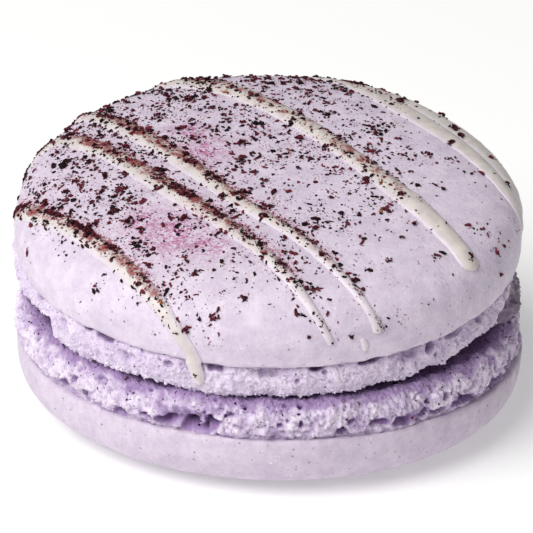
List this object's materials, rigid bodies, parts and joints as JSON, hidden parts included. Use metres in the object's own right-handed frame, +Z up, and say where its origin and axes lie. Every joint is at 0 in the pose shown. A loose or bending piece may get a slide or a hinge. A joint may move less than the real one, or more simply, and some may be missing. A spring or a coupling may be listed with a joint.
{
  "type": "macaron",
  "caption": "Round sandwich biscuit of two lilac almond shells with crumbly feet, a pale filling, icing drizzle and dark fruit flakes.",
  "frame": {"origin": "centre of the bounding box's lower face, on the surface that the macaron stands on", "axes": "+Z up through both shells, -Y towards the front, where the upper shell nods down, +X to the right"},
  "size_m": [0.0464, 0.046, 0.0246],
  "materials": {
    "almond_shell": "matte baked meringue, lilac",
    "filling": "soft satin cream",
    "icing": "satin set icing",
    "fruit_flakes": "dry dark fruit"
  },
  "bodies": {
    "root": {"bottom_shell": "almond_shell", "filling": "filling", "top_shell": "almond_shell"}
  },
  "joints": []
}
